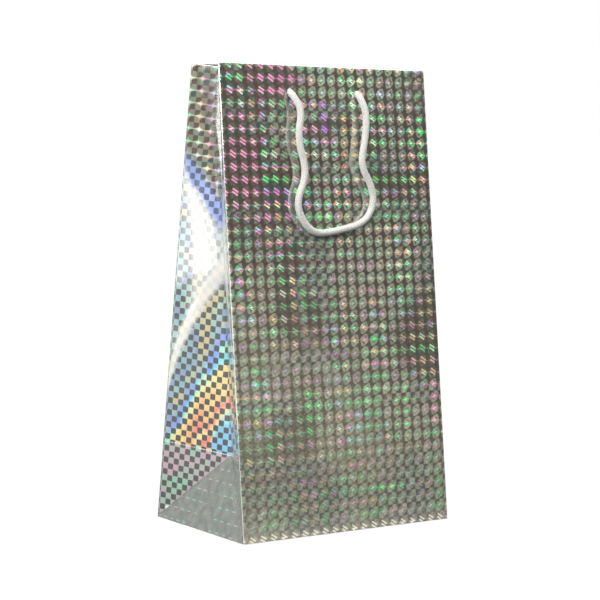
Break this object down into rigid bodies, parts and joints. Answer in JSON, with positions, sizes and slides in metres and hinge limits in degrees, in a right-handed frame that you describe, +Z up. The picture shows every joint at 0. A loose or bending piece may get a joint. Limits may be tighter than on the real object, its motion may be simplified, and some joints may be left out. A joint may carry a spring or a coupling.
{
  "type": "wine gift bag",
  "caption": "Tall folded card gift bag for bottles, laminated in glittering holographic film, with inward side folds and two hanging cord handles.",
  "frame": {"origin": "centre of the base, on the surface the bag stands on", "axes": "+Z up, -Y towards the front panel, X across the panels"},
  "size_m": [0.18, 0.1148, 0.3276],
  "materials": {
    "holographic_card": "gloss",
    "grey_board": "matte",
    "white_cord": "matte"
  },
  "bodies": {
    "base": {"base_flap_front": "holographic_card", "base_flap_rear": "holographic_card", "base_flap_left": "holographic_card", "base_flap_right": "holographic_card", "base_board": "grey_board", "left_foot": "holographic_card", "right_foot": "holographic_card", "left_gusset_front_outer": "holographic_card", "left_gusset_front_inner": "holographic_card", "left_gusset_rear_outer": "holographic_card", "left_gusset_rear_inner": "holographic_card", "right_gusset_front_outer": "holographic_card", "right_gusset_front_inner": "holographic_card", "right_gusset_rear_outer": "holographic_card", "right_gusset_rear_inner": "holographic_card", "left_gusset_hem_front": "holographic_card", "left_gusset_hem_rear": "holographic_card", "right_gusset_hem_front": "holographic_card", "right_gusset_hem_rear": "holographic_card"},
    "front_wall": {"front_panel": "holographic_card", "front_hem": "holographic_card", "front_stiffener": "grey_board", "front_knot_left": "white_cord", "front_knot_right": "white_cord"},
    "rear_wall": {"rear_panel": "holographic_card", "rear_hem": "holographic_card", "rear_stiffener": "grey_board", "rear_knot_left": "white_cord", "rear_knot_right": "white_cord", "seam_tab": "holographic_card"},
    "front_handle": {"front_cord": "white_cord"},
    "rear_handle": {"rear_cord": "white_cord"}
  },
  "joints": [
    {"name": "front_wall_fold", "type": "hinge", "parent": "base", "child": "front_wall", "pos_m": [0, -0.0575, 0], "axis": [1, 0, 0], "range_deg": [-1.1, 6.9], "deforming": ["left_gusset_front_outer", "left_gusset_front_inner", "right_gusset_front_outer", "right_gusset_front_inner", "left_gusset_hem_front", "right_gusset_hem_front"]},
    {"name": "rear_wall_fold", "type": "hinge", "parent": "base", "child": "rear_wall", "pos_m": [0, 0.0575, 0], "axis": [1, 0, 0], "range_deg": [-6.9, 1.1], "deforming": ["left_gusset_rear_outer", "left_gusset_rear_inner", "right_gusset_rear_outer", "right_gusset_rear_inner", "left_gusset_hem_rear", "right_gusset_hem_rear"]},
    {"name": "front_handle_swing", "type": "hinge", "parent": "front_wall", "child": "front_handle", "pos_m": [0, -0.02607, 0.30846], "axis": [-1, 0, 0], "range_deg": [0, 180]},
    {"name": "rear_handle_swing", "type": "hinge", "parent": "rear_wall", "child": "rear_handle", "pos_m": [0, 0.02607, 0.30846], "axis": [1, 0, 0], "range_deg": [0, 180]}
  ],
  "couplings": [
    {"joint": "rear_wall_fold", "follows": "front_wall_fold", "ratio": -1}
  ]
}
